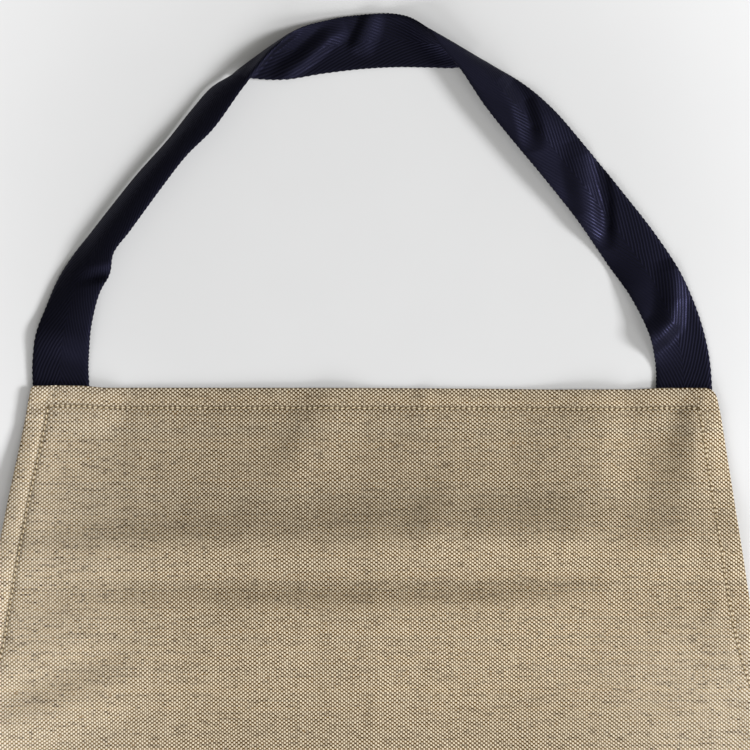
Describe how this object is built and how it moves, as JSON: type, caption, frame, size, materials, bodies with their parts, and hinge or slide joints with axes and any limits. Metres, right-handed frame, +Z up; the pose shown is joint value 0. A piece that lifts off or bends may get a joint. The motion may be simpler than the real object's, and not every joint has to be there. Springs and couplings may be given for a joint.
{
  "type": "apron",
  "caption": "Linen bib apron laid flat, with turned hems, a navy herringbone tape neck strap that lies in a loop above the bib, and matching waist ties.",
  "frame": {"origin": "middle of the laid apron's outline, on the surface it lies on", "axes": "+X to the right as seen from above, +Y from the skirt's hem towards the neck loop, +Z up out of the cloth's face"},
  "size_m": [0.77, 1.0974, 0.0163],
  "materials": {
    "linen": "matte plain weave",
    "navy_tape": "matte herringbone twill"
  },
  "bodies": {
    "root": {"apron_panel": "linen", "neck_strap": "navy_tape", "waist_tie_left": "navy_tape", "waist_tie_right": "navy_tape"}
  },
  "joints": []
}
